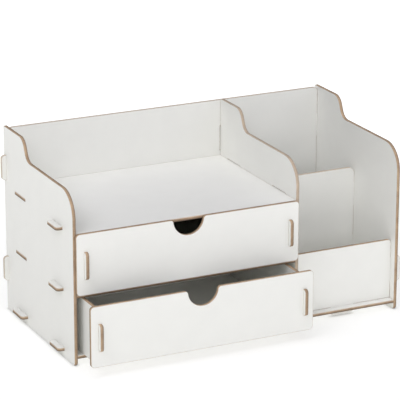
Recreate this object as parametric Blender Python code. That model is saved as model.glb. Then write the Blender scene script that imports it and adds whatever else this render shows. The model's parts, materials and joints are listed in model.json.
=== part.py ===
"""A flat-pack desk organizer cut from thin board. A case carries an open tray on top, two drawers
under it and a two-part pen bay on the right. Tabs on each board pass through slots in its
neighbours. Metres, +Z up.

Inside the case frame, X counts from the left panel's outer face, Y from the case's front edges
towards the rear and Z from the floor. The case frame is an empty, placed so that the world origin
is on the floor under the middle of the whole object as it stands, with its lower drawer a
little open.
"""

from math import acos, asin, ceil, cos, pi, radians, sin, tan

import bmesh
import bpy
from mathutils import Vector

# Board and fits
BOARD = 0.003
GAP = 0.0003  # between two boards that butt together or rest on each other
SLOT_GAP = 0.0003  # round a tab in its slot
FACET_SAG = 0.00002  # most that a facet may fall short of its arc

# Case
CASE_HEIGHT = 0.181
CASE_DEPTH = 0.162
DRAWER_BAY_WIDTH = 0.2193
PEN_BAY_WIDTH = 0.1037
FOOT_HEIGHT = 0.0065
LEVEL_PITCH = 0.05755  # from one horizontal board to the next
BACK_HEIGHT = 0.180
BACK_Y = 0.1563
STEP_DROP = 0.020  # the side profile's top edge is this much lower in front
STEP_Y = 0.111
STEP_SLOPE = radians(66)
STEP_RADIUS = 0.012
FRONT_RADIUS = 0.024
FOOT_FRONT_RADIUS = 0.0035
FOOT_REAR_RADIUS = 0.002
PEAK_RADIUS = 0.001
BACK_RADIUS = 0.004

# Tabs. The spans say where along an edge they start and end, and the reaches how far past the
# neighbour's outer face they stand.
TAB_LENGTH = 0.025
OUTER_TABS_Y = ((0.0235, 0.0457), (0.1112, 0.1362))  # through the two outer side panels
INNER_TABS_Y = ((0.0210, 0.0460), (0.1142, 0.1392))  # through the centre panel
BACK_TABS_Z = ((0.0305, 0.0540), (0.1300, 0.1535))
TAB_TIP_RADIUS = 0.003
FLUSH = 0.0
SHORT_REACH = 0.0045
LONG_REACH = 0.006

# Pen bay
PEN_FRONT_Y = 0.0075
PEN_FRONT_TOP = 0.0678
PEN_FRONT_RADIUS = 0.003
PEN_FRONT_TAB_Z = 0.0255
PEN_FRONT_REACH = 0.007  # of its right tab
DIVIDER_Y = 0.080
DIVIDER_TOP = 0.119
DIVIDER_RADIUS = 0.006
DIVIDER_TAB_Z = (0.0255, 0.0800)

# Drawers. Y counts from the rear face of the drawer's front, Z from its lower edge and X from
# the middle of the drawer bay.
FRONT_WIDTH = 0.2213
FRONT_LIP = 0.0001  # the front hangs this far below the drawer box
FRONT_HEIGHT = 0.057
FRONT_CORNER_RADIUS = 0.0033
NOTCH_X = -0.0012
NOTCH_DROP = 0.0005  # from the top edge to the centre of the dip's arc
NOTCH_RADIUS = 0.0153
NOTCH_SHOULDER_RADIUS = 0.0028
DRAWER_WIDTH = 0.2069
DRAWER_LENGTH = 0.1503
DRAWER_HEIGHT = 0.0525
DRAWER_BACK_MARGIN = 0.003  # of wall behind the drawer's back
DRAWER_FLOOR_Z = 0.003
DRAWER_FRONT_TAB_Z = 0.0152
DRAWER_BACK_TAB_Z = 0.0180
DRAWER_FLOOR_TAB_Y = (0.045, 0.100)
DRAWER_FLOOR_TAB_X = (-0.070, 0.045)
DRAWER_FRONT_REACH = 0.0043
LOWER_DRAWER_PULL = 0.030  # how far the lower drawer stands open at rest

# Worked out from the above
CENTRE_X = BOARD + DRAWER_BAY_WIDTH
RIGHT_X = CENTRE_X + BOARD + PEN_BAY_WIDTH
CASE_WIDTH = RIGHT_X + BOARD
BOTTOM_Z = FOOT_HEIGHT
SHELF_Z = BOTTOM_Z + LEVEL_PITCH
TRAY_Z = SHELF_Z + LEVEL_PITCH
STANDING_Z = BOTTOM_Z + BOARD + GAP
BAY_MIDDLE_X = BOARD + DRAWER_BAY_WIDTH / 2
PEN_BAY_LEFT = CENTRE_X + BOARD
PEN_BAY_MIDDLE_X = PEN_BAY_LEFT + PEN_BAY_WIDTH / 2
FRONTMOST = -GAP - BOARD - DRAWER_FRONT_REACH - LOWER_DRAWER_PULL
REARMOST = BACK_Y + BOARD + SHORT_REACH
ORIGIN_X = (CASE_WIDTH + PEN_FRONT_REACH - LONG_REACH) / 2
ORIGIN_Y = (FRONTMOST + REARMOST) / 2
DRAWER_BACK_Y = DRAWER_LENGTH - DRAWER_BACK_MARGIN - BOARD

# How a board stands: the rotation that turns its drawing plane into place. Its thickness then
# runs up, towards the front or towards the right.
LYING = (0, 0, 0)
FACING_FRONT = (radians(90), 0, 0)
FACING_SIDE = (radians(90), 0, radians(90))

BOARD_WHITE = (0.84, 0.84, 0.82, 1)
BOARD_ROUGHNESS = 0.45
EDGE_BROWN = (0.34, 0.21, 0.12, 1)
EDGE_ROUGHNESS = 0.85


def clear_scene():
    for thing in list(bpy.data.objects):
        bpy.data.objects.remove(thing, do_unlink=True)


# Drawing a board's outline. Outlines run anticlockwise, as lists of corners (u, v, radius).


def arc(centre, radius, start, sweep):
    """Points along an arc, both ends included, close enough together to keep to FACET_SAG."""
    steps = max(2, ceil(abs(sweep) / (2 * acos(1 - FACET_SAG / radius))))
    angles = [start + sweep * step / steps for step in range(steps + 1)]
    return [(centre[0] + radius * cos(a), centre[1] + radius * sin(a)) for a in angles]


def rounded(corners):
    """The outline's points, with an arc in place of each corner that has a radius."""
    points = []
    for index, (u, v, radius) in enumerate(corners):
        if not radius:
            points.append((u, v))
            continue
        corner = Vector((u, v))
        back = (Vector(corners[index - 1][:2]) - corner).normalized()
        ahead = (Vector(corners[(index + 1) % len(corners)][:2]) - corner).normalized()
        half = back.angle(ahead) / 2
        centre = corner + (back + ahead).normalized() * radius / sin(half)
        first = corner + back * radius / tan(half) - centre
        turn = 1 if back.cross(ahead) < 0 else -1
        start = Vector((1, 0)).angle_signed(first)
        points += arc(centre, radius, -start, turn * (pi - 2 * half))
    return points


def tab(start, end, reach, tip_radius=TAB_TIP_RADIUS):
    """The corners of a tab that stands out by reach from the edge that runs from start to end."""
    start, end = Vector(start), Vector(end)
    along = (end - start).normalized()
    out = Vector((along.y, -along.x)) * reach
    return [
        (start.x, start.y, 0),
        (*(start + out), tip_radius),
        (*(end + out), tip_radius),
        (end.x, end.y, 0),
    ]


def through(past):
    """The reach of a tab that passes a neighbouring board and stands out past it."""
    return GAP + BOARD + past


def tip(past):
    """A tab that ends flush is cut square, and one that stands out has round corners."""
    return TAB_TIP_RADIUS if past else 0


def spans(starts):
    """The spans of tabs of the usual length."""
    return [(start, start + TAB_LENGTH) for start in starts]


def tabs_up(u, tab_spans, past):
    """Tabs on a right-hand edge at u, which runs upwards."""
    corners = []
    for (low, high), reach in zip(tab_spans, past):
        corners += tab((u, low), (u, high), through(reach), tip(reach))
    return corners


def tabs_down(u, tab_spans, past):
    """Tabs on a left-hand edge at u, which runs downwards."""
    corners = []
    for (low, high), reach in reversed(list(zip(tab_spans, past))):
        corners += tab((u, high), (u, low), through(reach), tip(reach))
    return corners


def tab_below(u, v, past):
    """A tab on a lower edge at v, which runs to the right."""
    return tab((u, v), (u + TAB_LENGTH, v), through(past), tip(past))


def tab_above(u, v, past):
    """A tab on an upper edge at v, which runs to the left."""
    return tab((u + TAB_LENGTH, v), (u, v), through(past), tip(past))


def slot(u, v, width, height):
    """A slot round a tab whose own section is the rectangle from (u, v)."""
    left, right = u - SLOT_GAP, u + width + SLOT_GAP
    low, high = v - SLOT_GAP, v + height + SLOT_GAP
    return [(left, low), (right, low), (right, high), (left, high)]


def lying_slots(tab_spans, v):
    """Slots for the tabs of a horizontal board."""
    return [slot(start, v, end - start, BOARD) for start, end in tab_spans]


def standing_slots(u, tab_spans):
    """Slots for the tabs of an upright board."""
    return [slot(u, low, BOARD, high - low) for low, high in tab_spans]


# Making the solids


def principled(name, colour, roughness):
    material = bpy.data.materials.new(name)
    material.use_nodes = True
    shader = material.node_tree.nodes["Principled BSDF"]
    shader.inputs["Base Color"].default_value = colour
    shader.inputs["Roughness"].default_value = roughness
    shader.inputs["Metallic"].default_value = 0
    return material


def board(name, corners, slots, stance, place, parent):
    """Cuts one board: its drawn outline less its slots, BOARD thick from place."""
    shape = bmesh.new()
    for loop in [rounded(corners), *slots]:
        verts = [shape.verts.new((u, v, 0)) for u, v in loop]
        for first, second in zip(verts, verts[1:] + verts[:1]):
            shape.edges.new((first, second))
    bmesh.ops.triangle_fill(shape, use_beauty=True, edges=shape.edges[:])
    raised = bmesh.ops.extrude_face_region(shape, geom=shape.faces[:])["geom"]
    top = [part for part in raised if isinstance(part, bmesh.types.BMVert)]
    bmesh.ops.translate(shape, verts=top, vec=(0, 0, BOARD))
    bmesh.ops.recalc_face_normals(shape, faces=shape.faces[:])
    for face in shape.faces:
        face.material_index = 0 if abs(face.normal.z) > 0.5 else 1

    mesh = bpy.data.meshes.new(name)
    shape.to_mesh(mesh)
    shape.free()
    mesh.materials.append(principled(name + "_paint", BOARD_WHITE, BOARD_ROUGHNESS))
    mesh.materials.append(principled(name + "_cut_edge", EDGE_BROWN, EDGE_ROUGHNESS))
    mesh.shade_smooth()
    mesh.set_sharp_from_angle(angle=radians(30))
    piece = bpy.data.objects.new(name, mesh)
    piece.location = place
    piece.rotation_euler = stance
    piece.parent = parent
    bpy.context.collection.objects.link(piece)
    return piece


def empty(name, place, parent=None):
    frame = bpy.data.objects.new(name, None)
    frame.location = place
    frame.parent = parent
    bpy.context.collection.objects.link(frame)
    return frame


# The case


def stepped_top():
    """The side profile's top, from the rear: a peak, an S-shaped step down and a round front."""
    low = CASE_HEIGHT - STEP_DROP
    half_run = STEP_DROP / tan(STEP_SLOPE) / 2
    return [
        (STEP_Y + half_run, CASE_HEIGHT, STEP_RADIUS),
        (STEP_Y - half_run, low, STEP_RADIUS),
        (0, low, FRONT_RADIUS),
    ]


def side_panel(name, x, slots, case):
    corners = [
        (0, 0, FOOT_FRONT_RADIUS),
        (CASE_DEPTH, 0, FOOT_REAR_RADIUS),
        (CASE_DEPTH, CASE_HEIGHT, PEAK_RADIUS),
        *stepped_top(),
    ]
    board(name, corners, slots, FACING_SIDE, (x, 0, 0), case)


def left_side_panel(case):
    slots = standing_slots(BACK_Y, BACK_TABS_Z)
    for level in (BOTTOM_Z, SHELF_Z, TRAY_Z):
        slots += lying_slots(OUTER_TABS_Y, level)
    side_panel("left_side_panel", 0, slots, case)


def right_side_panel(case):
    slots = standing_slots(BACK_Y, BACK_TABS_Z)
    slots += lying_slots(OUTER_TABS_Y, BOTTOM_Z)
    slots += standing_slots(PEN_FRONT_Y, spans([PEN_FRONT_TAB_Z]))
    slots += standing_slots(DIVIDER_Y, spans(DIVIDER_TAB_Z))
    side_panel("right_side_panel", RIGHT_X, slots, case)


def centre_panel(case):
    rear = BACK_Y - GAP
    corners = [(0, STANDING_Z, 0)]
    for start, _ in INNER_TABS_Y:
        corners += tab_below(start, STANDING_Z, SHORT_REACH - GAP)
    corners.append((rear, STANDING_Z, 0))
    corners += tabs_up(rear, BACK_TABS_Z, (SHORT_REACH, SHORT_REACH))
    corners += [(rear, CASE_HEIGHT, PEAK_RADIUS), *stepped_top()]
    slots = standing_slots(PEN_FRONT_Y, spans([PEN_FRONT_TAB_Z]))
    slots += standing_slots(DIVIDER_Y, spans(DIVIDER_TAB_Z))
    for level in (SHELF_Z, TRAY_Z):
        slots += lying_slots(INNER_TABS_Y, level)
    board("centre_panel", corners, slots, FACING_SIDE, (CENTRE_X, 0, 0), case)


def back_panel(case):
    left, right = BOARD + GAP, RIGHT_X - GAP
    reach = (SHORT_REACH, SHORT_REACH)
    corners = [
        (left, BOTTOM_Z, 0),
        (right, BOTTOM_Z, 0),
        *tabs_up(right, BACK_TABS_Z, reach),
        (right, BACK_HEIGHT, BACK_RADIUS),
        (left, BACK_HEIGHT, BACK_RADIUS),
        *tabs_down(left, BACK_TABS_Z, reach),
    ]
    slots = standing_slots(CENTRE_X, BACK_TABS_Z)
    board("back_panel", corners, slots, FACING_FRONT, (0, BACK_Y + BOARD, 0), case)


def level_board(name, z, right, right_tabs, slots, rear_reach, case):
    """A horizontal board, from the left panel to the inner face of an upright at right."""
    left_edge, right_edge = BOARD + GAP, right - GAP
    rear_edge = BACK_Y - GAP
    reach = (LONG_REACH, rear_reach)
    corners = [
        (left_edge, 0, 0),
        (right_edge, 0, 0),
        *tabs_up(right_edge, right_tabs, reach),
        (right_edge, rear_edge, 0),
        (left_edge, rear_edge, 0),
        *tabs_down(left_edge, OUTER_TABS_Y, reach),
    ]
    board(name, corners, slots, LYING, (0, 0, z), case)


def level_boards(case):
    level_board("tray_floor", TRAY_Z, CENTRE_X, INNER_TABS_Y, [], FLUSH, case)
    level_board("middle_shelf", SHELF_Z, CENTRE_X, INNER_TABS_Y, [], FLUSH, case)
    tab_span = spans([PEN_BAY_MIDDLE_X - TAB_LENGTH / 2])
    slots = standing_slots(CENTRE_X, INNER_TABS_Y)
    slots += lying_slots(tab_span, PEN_FRONT_Y)
    slots += lying_slots(tab_span, DIVIDER_Y)
    level_board("bottom_panel", BOTTOM_Z, RIGHT_X, OUTER_TABS_Y, slots, LONG_REACH, case)


def pen_bay_board(name, y, top, radius, tabs_z, right_reach, case):
    """An upright board across the pen bay, standing on the bottom panel."""
    left, right = PEN_BAY_LEFT + GAP, RIGHT_X - GAP
    corners = [
        (left, STANDING_Z, 0),
        *tab_below(PEN_BAY_MIDDLE_X - TAB_LENGTH / 2, STANDING_Z, SHORT_REACH - GAP),
        (right, STANDING_Z, 0),
        *tabs_up(right, spans(tabs_z), [right_reach] * len(tabs_z)),
        (right, top, radius),
        (left, top, radius),
        *tabs_down(left, spans(tabs_z), [SHORT_REACH] * len(tabs_z)),
    ]
    board(name, corners, [], FACING_FRONT, (0, y + BOARD, 0), case)


def pen_bay(case):
    pen_bay_board(
        "pen_front_plate", PEN_FRONT_Y, PEN_FRONT_TOP, PEN_FRONT_RADIUS,
        [PEN_FRONT_TAB_Z], PEN_FRONT_REACH, case,
    )
    pen_bay_board(
        "pen_divider", DIVIDER_Y, DIVIDER_TOP, DIVIDER_RADIUS,
        DIVIDER_TAB_Z, SHORT_REACH, case,
    )


# The drawers


def finger_notch(top):
    """A half-round dip in a top edge that runs to the left, with rounded shoulders."""
    dip_v = top - NOTCH_DROP
    shoulder_v = top - NOTCH_SHOULDER_RADIUS
    span = NOTCH_RADIUS + NOTCH_SHOULDER_RADIUS
    lean = asin((dip_v - shoulder_v) / span)
    spread = span * cos(lean)
    shoulder_sweep = pi / 2 - lean
    right_u, left_u = NOTCH_X + spread, NOTCH_X - spread
    right = arc((right_u, shoulder_v), NOTCH_SHOULDER_RADIUS, pi / 2, shoulder_sweep)
    dip = arc((NOTCH_X, dip_v), NOTCH_RADIUS, -lean, 2 * lean - pi)
    left = arc((left_u, shoulder_v), NOTCH_SHOULDER_RADIUS, lean, shoulder_sweep)
    return [(u, v, 0) for u, v in right + dip[1:-1] + left]


def drawer_front(name, slide):
    half = FRONT_WIDTH / 2
    low, high = -FRONT_LIP, FRONT_HEIGHT - FRONT_LIP
    corners = [
        (-half, low, FRONT_CORNER_RADIUS),
        (half, low, FRONT_CORNER_RADIUS),
        (half, high, FRONT_CORNER_RADIUS),
        *finger_notch(high),
        (-half, high, FRONT_CORNER_RADIUS),
    ]
    slots = []
    for wall_x in (-DRAWER_WIDTH / 2, DRAWER_WIDTH / 2 - BOARD):
        slots += standing_slots(wall_x, spans([DRAWER_FRONT_TAB_Z]))
    board(name, corners, slots, FACING_FRONT, (0, 0, 0), slide)


def drawer_wall(name, x, slide):
    corners = [
        (GAP, 0, 0),
        (DRAWER_LENGTH, 0, 0),
        (DRAWER_LENGTH, DRAWER_HEIGHT, 0),
        (GAP, DRAWER_HEIGHT, 0),
        *tabs_down(GAP, spans([DRAWER_FRONT_TAB_Z]), [DRAWER_FRONT_REACH]),
    ]
    slots = lying_slots(spans(DRAWER_FLOOR_TAB_Y), DRAWER_FLOOR_Z)
    slots += standing_slots(DRAWER_BACK_Y, spans([DRAWER_BACK_TAB_Z]))
    board(name, corners, slots, FACING_SIDE, (x, 0, 0), slide)


def drawer_back(name, slide):
    edge = DRAWER_WIDTH / 2 - BOARD - GAP
    corners = [
        (-edge, 0, 0),
        (edge, 0, 0),
        *tabs_up(edge, spans([DRAWER_BACK_TAB_Z]), [FLUSH]),
        (edge, DRAWER_HEIGHT, 0),
        (-edge, DRAWER_HEIGHT, 0),
        *tabs_down(-edge, spans([DRAWER_BACK_TAB_Z]), [FLUSH]),
    ]
    slots = lying_slots(spans(DRAWER_FLOOR_TAB_X), DRAWER_FLOOR_Z)
    board(name, corners, slots, FACING_FRONT, (0, DRAWER_BACK_Y + BOARD, 0), slide)


def drawer_floor(name, slide):
    edge = DRAWER_WIDTH / 2 - BOARD - GAP
    rear = DRAWER_BACK_Y - GAP
    reach = (FLUSH, FLUSH)
    corners = [(-edge, GAP, 0), (edge, GAP, 0)]
    corners += tabs_up(edge, spans(DRAWER_FLOOR_TAB_Y), reach)
    corners.append((edge, rear, 0))
    for x in reversed(DRAWER_FLOOR_TAB_X):
        corners += tab_above(x, rear, FLUSH)
    corners.append((-edge, rear, 0))
    corners += tabs_down(-edge, spans(DRAWER_FLOOR_TAB_Y), reach)
    board(name, corners, [], LYING, (0, 0, DRAWER_FLOOR_Z), slide)


def drawer(name, board_below_z, pull, case):
    """A drawer on the board below it, pulled out by pull, with its slide's empty as parent."""
    rest_z = board_below_z + BOARD + GAP
    slide = empty(name + "_slide", (BAY_MIDDLE_X, -GAP - pull, rest_z), case)
    drawer_front(name + "_front", slide)
    drawer_wall(name + "_left_side", -DRAWER_WIDTH / 2, slide)
    drawer_wall(name + "_right_side", DRAWER_WIDTH / 2 - BOARD, slide)
    drawer_back(name + "_back", slide)
    drawer_floor(name + "_bottom", slide)


def main():
    clear_scene()
    case = empty("case_frame", (-ORIGIN_X, -ORIGIN_Y, 0))
    left_side_panel(case)
    centre_panel(case)
    right_side_panel(case)
    back_panel(case)
    level_boards(case)
    pen_bay(case)
    drawer("upper_drawer", SHELF_Z, 0, case)
    drawer("lower_drawer", BOTTOM_Z, LOWER_DRAWER_PULL, case)


main()
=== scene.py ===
"""The look of the flat-pack desk organizer, built round its packed boards. Metres, +Z up."""

import json
from math import cos, pi, radians, sin

import bmesh
import bpy
from mathutils import Matrix, Vector


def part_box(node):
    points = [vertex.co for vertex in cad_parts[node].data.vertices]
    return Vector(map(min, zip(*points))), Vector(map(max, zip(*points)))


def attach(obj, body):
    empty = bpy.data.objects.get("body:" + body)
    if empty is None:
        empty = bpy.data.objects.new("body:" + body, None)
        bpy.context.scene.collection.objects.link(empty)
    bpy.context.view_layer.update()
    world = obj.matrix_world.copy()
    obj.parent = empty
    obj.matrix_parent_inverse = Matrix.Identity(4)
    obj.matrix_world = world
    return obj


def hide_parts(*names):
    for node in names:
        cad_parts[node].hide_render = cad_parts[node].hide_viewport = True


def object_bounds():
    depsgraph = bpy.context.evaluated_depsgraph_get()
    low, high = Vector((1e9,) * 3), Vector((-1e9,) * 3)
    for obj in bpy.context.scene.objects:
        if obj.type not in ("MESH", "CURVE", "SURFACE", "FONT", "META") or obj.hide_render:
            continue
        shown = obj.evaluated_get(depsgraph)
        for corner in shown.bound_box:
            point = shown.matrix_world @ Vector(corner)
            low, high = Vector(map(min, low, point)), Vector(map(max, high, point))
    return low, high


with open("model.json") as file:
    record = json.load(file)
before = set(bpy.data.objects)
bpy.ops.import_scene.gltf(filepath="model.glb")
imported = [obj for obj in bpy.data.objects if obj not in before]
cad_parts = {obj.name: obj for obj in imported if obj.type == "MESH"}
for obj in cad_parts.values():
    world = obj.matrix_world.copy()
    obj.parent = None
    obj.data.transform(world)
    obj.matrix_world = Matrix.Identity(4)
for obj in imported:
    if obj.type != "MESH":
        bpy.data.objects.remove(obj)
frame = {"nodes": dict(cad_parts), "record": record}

cad_low, cad_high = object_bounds()

# Board
GROWTH = 0.00022  # how far a board's outline passes its CAD solid's, to close the joints
SLOT_CLOSURE = 0.0003  # how far its slots close in round their tabs
SLACK_SLOTS = ("centre_panel", "back_panel")  # boards whose slots open instead, as dark lines
SLACK = 0.0002  # how far those slots open
RIM_RADIUS = 0.00012  # the softened arris between a painted face and a cut edge
RIM_STEPS = 2
SMOKE_RINGS = ((0.0009, 0.0), (0.0004, 0.12))  # inset from the cut, and how smoked
WELD_DIGITS = 6  # points that agree to this many decimals are one
FLATTEST = 1e-5  # a point is on a face if it is this close to its plane
STRAIGHT = 1e-3  # the least turn, as a sine, that makes a corner of an outline
SHARPEST = cos(radians(30))  # a sharper turn than this is a crease

# Colours, linear
PAINT = (0.828, 0.825, 0.777, 1)
PAINT_SHADE = (0.816, 0.813, 0.766, 1)
SMOKE = (0.44, 0.36, 0.27, 1)
FIBRE_LIGHT = (0.57, 0.41, 0.265, 1)
FIBRE_DARK = (0.29, 0.195, 0.12, 1)
FIBRE_DARKEST = (0.125, 0.085, 0.055, 1)
PALE_CUT = (0.70, 0.64, 0.55, 1)
FLOOR = (0.40, 0.40, 0.38, 1)

# Paint: each noise is a scale, a detail and a roughness, and each bump a strength and a depth
MOTTLE_NOISE, MOTTLE_RANGE = (60, 4, 0.5), (0.35, 0.65)
DRIFT_NOISE, DRIFT_RANGE = (400, 3, 0.5), (0.3, 0.7)  # how unevenly the smoke lies
LEAST_SMOKE = 0.45
GLOSS_NOISE, PAINT_ROUGHNESS = (900, 2, 0.5), (0.38, 0.5)
PEEL_NOISE, PEEL_BUMP = (1500, 2, 0.5), (0.12, 0.00004)

# Cut edges
STREAK_NOISE, STREAK_BUMP = (2200, 3, 0.6), (0.35, 0.00008)
STREAK_STRETCH = 0.12  # the streaks' scale across the board, against along the cut
FIBRE_NOISE = (3500, 3, 0.65)
PATCH_NOISE = (90, 3, 0.5)
TONE_RANGE = (0.45, 1.05)  # of streaks, fibres and patches together, from light to dark
DARKENING_DEPTHS = (0.0010, 0.0028)  # where a cut darkens, from the good face, so a level board's cut is darker towards the bottom
UPRIGHT_DARKENING = 0.6  # how dark that makes an upright board, against 1 for a level one
TOP_PALE_DEPTHS = (0.0004, 0.0007)  # where the paler top band of a level board's cut edge ends
TOP_PALENESS = 0.8
PALENESS = {"back_panel": 0.65, "pen_divider": 0.5, "centre_panel": 0.3}  # how little it browned
CUT_ROUGHNESS = 0.85

# Camera
FOCAL_LENGTH = 212.7  # in mm, on a sensor 36 mm wide
SENSOR_WIDTH = 36
AZIMUTH = radians(-25.99)
ELEVATION = radians(18.27)
ROLL = radians(0.08)
DISTANCE = 2.2244
FARTHEST = 20
AIM = Vector((0.0009, 0.0254, 0.1062))

# Floor and light
FLOOR_REACH = 6
GLOW = (0.62, 0.93)  # the floor's own light, near and far, which keeps it white
GLOW_DISTANCES = (0.1, 0.7)  # where near ends and far starts
CONTACT_SHADOW_REACH = 0.004  # how far from a foot the floor's glow is dimmed, a painted contact shadow
CONTACT_SHADOW_SAMPLES = 8
COOL_WHITE = (1, 1, 1.06)
WORLD_STRENGTH = 0.15
SOFTBOXES = {  # place, diameter and power
    "key_light": ((-1.5, -2.2, 2.2), 2.0, 17),
    "front_light": ((-0.2, -2.9, 1.0), 1.5, 19),
    "left_light": ((-2.2, -0.6, 2.6), 2.0, 37),
    "right_light": ((1.8, -2.2, 1.6), 2.0, 14),
    "top_light": ((-0.3, 0, 3.0), 2.5, 21),
    "back_light": ((0.4, 2.0, 2.5), 2.0, 4),
}


# Small helpers for node trees


class Tree:
    """A node tree under construction. A value may be another node's output, which is linked."""

    def __init__(self, holder):
        holder.use_nodes = True
        self.nodes = holder.node_tree.nodes
        self.links = holder.node_tree.links

    def add(self, kind, settings=None, **inputs):
        node = self.nodes.new(kind)
        for name, value in (settings or {}).items():
            setattr(node, name, value)
        for name, value in inputs.items():
            self.put(node, name, value)
        return node

    def put(self, node, name, value):
        self.feed(node.inputs[name], value)

    def feed(self, socket, value):
        if isinstance(value, bpy.types.NodeSocket):
            self.links.new(value, socket)
        else:
            socket.default_value = value


def noise(tree, vector, pattern):
    scale, detail, roughness = pattern
    node = tree.add(
        "ShaderNodeTexNoise", Vector=vector, Scale=scale, Detail=detail, Roughness=roughness
    )
    return node.outputs["Fac"]


def bump(tree, height, relief):
    strength, depth = relief
    node = tree.add("ShaderNodeBump", Strength=strength, Distance=depth, Height=height)
    return node.outputs["Normal"]


def remap(tree, value, old, new):
    """The value, with the range old stretched to the range new and held at its ends."""
    node = tree.add("ShaderNodeMapRange", Value=value)
    for name, end in zip(("From Min", "From Max", "To Min", "To Max"), (*old, *new)):
        tree.put(node, name, end)
    return node.outputs["Result"]


def arithmetic(tree, operation, first, second):
    node = tree.add("ShaderNodeMath", {"operation": operation})
    for socket, value in zip(node.inputs, (first, second)):
        tree.feed(socket, value)
    return node.outputs["Value"]


def blend_colours(tree, factor, first, second):
    node = tree.add("ShaderNodeMix", {"data_type": "RGBA"}, Factor=factor)
    colour_sockets = [socket for socket in node.inputs if socket.type == "RGBA"]
    for socket, value in zip(colour_sockets, (first, second)):
        tree.feed(socket, value)
    return next(socket for socket in node.outputs if socket.type == "RGBA")


def attribute(tree, name):
    return tree.add("ShaderNodeAttribute", {"attribute_name": name}).outputs["Fac"]


# Materials


def paint_material():
    """White paint on fibreboard: a faint mottle, a fine orange peel, and cream smoke at cuts."""
    material = bpy.data.materials.new("white_paint")
    tree = Tree(material)
    shader = tree.nodes["Principled BSDF"]
    place = tree.add("ShaderNodeTexCoord").outputs["Object"]
    mottle = remap(tree, noise(tree, place, MOTTLE_NOISE), MOTTLE_RANGE, (0, 1))
    base = blend_colours(tree, mottle, PAINT, PAINT_SHADE)
    drift = remap(tree, noise(tree, place, DRIFT_NOISE), DRIFT_RANGE, (LEAST_SMOKE, 1))
    smoke = arithmetic(tree, "MULTIPLY", attribute(tree, "smoked"), drift)
    tree.put(shader, "Base Color", blend_colours(tree, smoke, base, SMOKE))
    gloss = remap(tree, noise(tree, place, GLOSS_NOISE), (0, 1), PAINT_ROUGHNESS)
    tree.put(shader, "Roughness", gloss)
    tree.put(shader, "Normal", bump(tree, noise(tree, place, PEEL_NOISE), PEEL_BUMP))
    return material


def cut_material():
    """Bare fibreboard browned by the laser, with streaks that run across the thickness.

    The UV map "cut" holds the run along the cut and the depth from the board's good face: its
    left, front or top one. The attribute "lying" is 1 on a level board, whose cut edge is
    paler at the top and darker towards the bottom, and the attribute "pale" is how little the
    board is browned.
    """
    material = bpy.data.materials.new("cut_fibreboard")
    tree = Tree(material)
    shader = tree.nodes["Principled BSDF"]
    cut = tree.add("ShaderNodeUVMap", {"uv_map": "cut"}).outputs["UV"]
    stretched = tree.add("ShaderNodeMapping", Vector=cut, Scale=(1, STREAK_STRETCH, 1))
    streaks = noise(tree, stretched.outputs["Vector"], STREAK_NOISE)
    place = tree.add("ShaderNodeTexCoord").outputs["Object"]
    burn = arithmetic(tree, "MULTIPLY", streaks, noise(tree, place, FIBRE_NOISE))
    burn = arithmetic(tree, "ADD", burn, noise(tree, place, PATCH_NOISE))
    fibre = blend_colours(tree, remap(tree, burn, TONE_RANGE, (0, 1)), FIBRE_LIGHT, FIBRE_DARK)
    depth = tree.add("ShaderNodeSeparateXYZ", Vector=cut).outputs["Y"]
    lying = attribute(tree, "lying")
    # A level board's cut is darker towards the bottom and, below, paler in a band at the top.
    darkest = remap(tree, lying, (0, 1), (UPRIGHT_DARKENING, 1))
    darkened = blend_colours(tree, remap(tree, depth, DARKENING_DEPTHS, (0, darkest)), fibre, FIBRE_DARKEST)
    pale_share = arithmetic(tree, "MULTIPLY", lying, remap(tree, depth, TOP_PALE_DEPTHS, (TOP_PALENESS, 0)))
    pale_share = arithmetic(tree, "MAXIMUM", pale_share, attribute(tree, "pale"))
    tree.put(shader, "Base Color", blend_colours(tree, pale_share, darkened, PALE_CUT))
    tree.put(shader, "Roughness", CUT_ROUGHNESS)
    tree.put(shader, "Normal", bump(tree, streaks, STREAK_BUMP))
    return material


def floor_material():
    """A matt floor that glows, more so far off, with a painted contact shadow: its glow dims right
    next to a foot.
    """
    material = bpy.data.materials.new("studio_floor")
    tree = Tree(material)
    shader = tree.nodes["Principled BSDF"]
    tree.put(shader, "Base Color", FLOOR)
    tree.put(shader, "Roughness", 1)
    tree.put(shader, "Specular IOR Level", 0)
    tree.put(shader, "Emission Color", (1, 1, 1, 1))
    place = tree.add("ShaderNodeTexCoord").outputs["Object"]
    away = tree.add("ShaderNodeVectorMath", {"operation": "LENGTH"}, Vector=place).outputs["Value"]
    # Ambient occlusion dims the floor's glow next to a foot: a painted contact shadow.
    painted_contact_shadow = tree.add("ShaderNodeAmbientOcclusion", {"samples": CONTACT_SHADOW_SAMPLES}, Distance=CONTACT_SHADOW_REACH)
    glow = remap(tree, away, GLOW_DISTANCES, GLOW)
    glow = arithmetic(tree, "MULTIPLY", glow, painted_contact_shadow.outputs["AO"])
    tree.put(shader, "Emission Strength", glow)
    return material


# Reading a board's drawing back from its solid


def flattened(point, axis):
    """The point as drawn on the board's plane, seen against the axis of its thickness."""
    return Vector((point[(axis + 1) % 3], point[(axis + 2) % 3]))


def raised(point, height, axis):
    """A point of the drawing plane at a height along the axis of the board's thickness."""
    place = Vector((0, 0, 0))
    place[axis] = height
    place[(axis + 1) % 3] = point.x
    place[(axis + 2) % 3] = point.y
    return place


def welded(mesh):
    """The mesh's points, each once, and its faces as lists of their indices."""
    points, index_of, index = [], {}, []
    for vertex in mesh.vertices:
        key = tuple(round(x, WELD_DIGITS) for x in vertex.co)
        if key not in index_of:
            index_of[key] = len(points)
            points.append(vertex.co.copy())
        index.append(index_of[key])
    return points, [[index[v] for v in face.vertices] for face in mesh.polygons]


def chained(edges):
    """Directed edges, joined end to end into closed loops."""
    after = dict(edges)
    loops = []
    while after:
        start, step = after.popitem()
        loop = [start]
        while step != start:
            loop.append(step)
            step = after.pop(step)
        loops.append(loop)
    return loops


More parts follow.
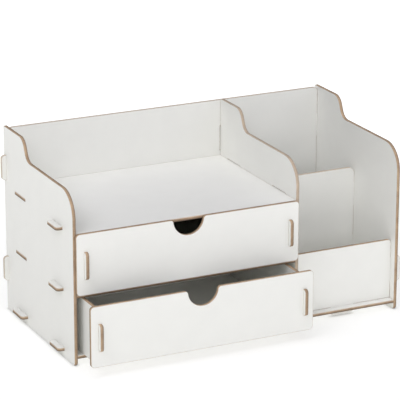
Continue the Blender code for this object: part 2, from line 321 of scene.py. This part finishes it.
def with_directions(loop):
    """Each point of the loop, with the directions in which the loop comes to it and leaves it."""
    for index, point in enumerate(loop):
        following = loop[(index + 1) % len(loop)]
        yield point, (point - loop[index - 1]).normalized(), (following - point).normalized()


def cornered(loop):
    """The loop without the points on its straight stretches."""
    return [
        point for point, back, ahead in with_directions(loop) if abs(back.cross(ahead)) > STRAIGHT
    ]


def drawing(node):
    """A board's axis of thickness, its two heights, and its loops, with the board on their left."""
    low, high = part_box(node)
    size = high - low
    axis = min(range(3), key=lambda a: size[a])
    points, faces = welded(frame["nodes"][node].data)
    edges = set()
    for face in faces:
        if all(abs(points[v][axis] - high[axis]) < FLATTEST for v in face):
            edges |= set(zip(face, face[1:] + face[:1]))
    rim = [edge for edge in edges if edge[::-1] not in edges]
    loops = [[flattened(points[v], axis) for v in loop] for loop in chained(rim)]
    return axis, low[axis], high[axis], [cornered(loop) for loop in loops]


def is_hole(loop):
    return sum(loop[index - 1].cross(point) for index, point in enumerate(loop)) < 0


def inset(loop, distance):
    """The loop, moved by distance into the board on its left."""
    moved = []
    for point, back, ahead in with_directions(loop):
        normals = Vector((-back.y, back.x)), Vector((-ahead.y, ahead.x))
        offset = (normals[0] + normals[1]) * distance / (1 + normals[0].dot(normals[1]))
        moved.append(point + offset)
    return moved


# Boards


def section(low, high):
    """The rings round a loop from one face to the other: inset, height, smoke and sharpness."""
    half = [(distance, 0, smoke, False) for distance, smoke in SMOKE_RINGS]
    for step in range(RIM_STEPS + 1):
        angle = pi / 2 * step / RIM_STEPS
        distance = RIM_RADIUS * (1 - sin(angle))
        height = RIM_RADIUS * (1 - cos(angle))
        half.append((distance, height, 1, step in (0, RIM_STEPS)))
    rings = [(distance, low + height, *rest) for distance, height, *rest in half]
    rings += [(distance, high - height, *rest) for distance, height, *rest in reversed(half)]
    return rings


def slot_growth(node, loop):
    """How far the board grows at this loop, and whether the loop is a closed slot."""
    if not is_hole(loop):
        return GROWTH, False
    if node in SLACK_SLOTS:
        return -SLACK, False
    return SLOT_CLOSURE, True


def add_wall(shape, grid, loop, depths):
    """The faces between the rings of a loop, with the run and the depth as their UV map."""
    cut_layer = shape.loops.layers.uv["cut"]
    count, last = len(loop), len(grid) - 1
    run = [0]
    for index in range(count):
        run.append(run[-1] + (loop[(index + 1) % count] - loop[index]).length)
    painted = len(SMOKE_RINGS)
    for level in range(last):
        for index in range(count):
            following = (index + 1) % count
            face = shape.faces.new((
                grid[level][index], grid[level][following],
                grid[level + 1][following], grid[level + 1][index],
            ))
            face.smooth = True
            face.material_index = 1 if painted <= level < last - painted else 0
            corners = (
                (run[index], depths[level]), (run[index + 1], depths[level]),
                (run[index + 1], depths[level + 1]), (run[index], depths[level + 1]),
            )
            for corner, place in zip(face.loops, corners):
                corner[cut_layer].uv = place


def mark_creases(shape, grid, loop, rings):
    """Hard edges along the sharp rings, and across the wall at the loop's sharp corners."""
    count = len(loop)
    for row, (_, _, _, sharp) in zip(grid, rings):
        if sharp:
            for index in range(count):
                shape.edges.get((row[index], row[(index + 1) % count])).smooth = False
    for index, (_, back, ahead) in enumerate(with_directions(loop)):
        if back.dot(ahead) < SHARPEST:
            for row, next_row in zip(grid, grid[1:]):
                shape.edges.get((row[index], next_row[index])).smooth = False


def add_cap(shape, edges, axis, side):
    """A painted face within the edges, which looks to the given side of the axis."""
    for face in bmesh.ops.triangle_fill(shape, use_beauty=True, edges=edges)["geom"]:
        if isinstance(face, bmesh.types.BMFace):
            face.normal_update()
            if face.normal[axis] * side < 0:
                face.normal_flip()
            face.smooth = True


def board_mesh(node, name):
    """A board with softened rims: painted faces in slot 0 and cut edges in slot 1."""
    axis, low, high, loops = drawing(node)
    rings = section(low, high)
    good_face = high if axis == 2 else low
    depths = [abs(height - good_face) for _, height, _, _ in rings]
    shape = bmesh.new()
    smoke_layer, lying_layer, pale_layer = (
        shape.verts.layers.float.new(layer) for layer in ("smoked", "lying", "pale")
    )
    shape.loops.layers.uv.new("cut")
    caps = ([], [])
    for loop in loops:
        growth, closed = slot_growth(node, loop)
        grid = []
        for distance, height, smoke, _ in rings:
            row = []
            for point in inset(loop, distance - growth):
                vert = shape.verts.new(raised(point, height, axis))
                vert[smoke_layer] = 0 if closed else smoke
                vert[lying_layer] = 1 if axis == 2 else 0
                vert[pale_layer] = PALENESS.get(node, 0)
                row.append(vert)
            grid.append(row)
        add_wall(shape, grid, loop, depths)
        mark_creases(shape, grid, loop, rings)
        for cap, row in zip(caps, (grid[0], grid[-1])):
            cap += [shape.edges.get((row[index - 1], row[index])) for index in range(len(row))]
    for cap, side in zip(caps, (-1, 1)):
        add_cap(shape, cap, axis, side)
    mesh = bpy.data.meshes.new(name)
    shape.to_mesh(mesh)
    shape.free()
    return mesh


def board_piece(node, body, materials):
    """The finished board that stands for a CAD board."""
    name = node + "_board"
    piece = bpy.data.objects.new(name, board_mesh(node, name))
    bpy.context.scene.collection.objects.link(piece)
    for material in materials:
        piece.data.materials.append(material)
    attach(piece, body)
    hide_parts(node)


# Stage, light and camera


def studio_floor():
    mesh = bpy.data.meshes.new("studio_floor")
    corners = [(-1, -1, 0), (1, -1, 0), (1, 1, 0), (-1, 1, 0)]
    mesh.from_pydata([Vector(corner) * FLOOR_REACH for corner in corners], [], [(0, 1, 2, 3)])
    mesh.materials.append(floor_material())
    floor = bpy.data.objects.new("studio_floor", mesh)
    floor.location.z = cad_low.z
    bpy.context.scene.collection.objects.link(floor)


def studio_world():
    world = bpy.data.worlds.new("studio")
    bpy.context.scene.world = world
    tree = Tree(world)
    background = tree.nodes["Background"]
    tree.put(background, "Color", (*COOL_WHITE, 1))
    tree.put(background, "Strength", WORLD_STRENGTH)


def softbox(name, place, size, power):
    data = bpy.data.lights.new(name, "AREA")
    data.shape = "DISK"
    data.size = size
    data.energy = power
    data.color = COOL_WHITE
    light = bpy.data.objects.new(name, data)
    light.location = place
    light.rotation_euler = (AIM - Vector(place)).to_track_quat("-Z", "Y").to_euler()
    bpy.context.scene.collection.objects.link(light)


def camera():
    data = bpy.data.cameras.new("camera")
    data.lens = FOCAL_LENGTH
    data.sensor_width = SENSOR_WIDTH
    data.clip_end = FARTHEST
    eye = bpy.data.objects.new("camera", data)
    back = Vector((sin(AZIMUTH) * cos(ELEVATION), -cos(AZIMUTH) * cos(ELEVATION), sin(ELEVATION)))
    turn = (-back).to_track_quat("-Z", "Y").to_matrix() @ Matrix.Rotation(ROLL, 3, "Z")
    eye.matrix_world = Matrix.Translation(AIM + back * DISTANCE) @ turn.to_4x4()
    bpy.context.scene.collection.objects.link(eye)
    bpy.context.scene.camera = eye


def main():
    camera()
    materials = [paint_material(), cut_material()]
    for body, nodes in frame["record"]["behaviour"]["bodies"].items():
        for node in nodes:
            board_piece(node, body, materials)
    studio_floor()
    studio_world()
    for name, (place, size, power) in SOFTBOXES.items():
        softbox(name, place, size, power)
    bpy.context.scene.view_settings.view_transform = "Standard"


main()
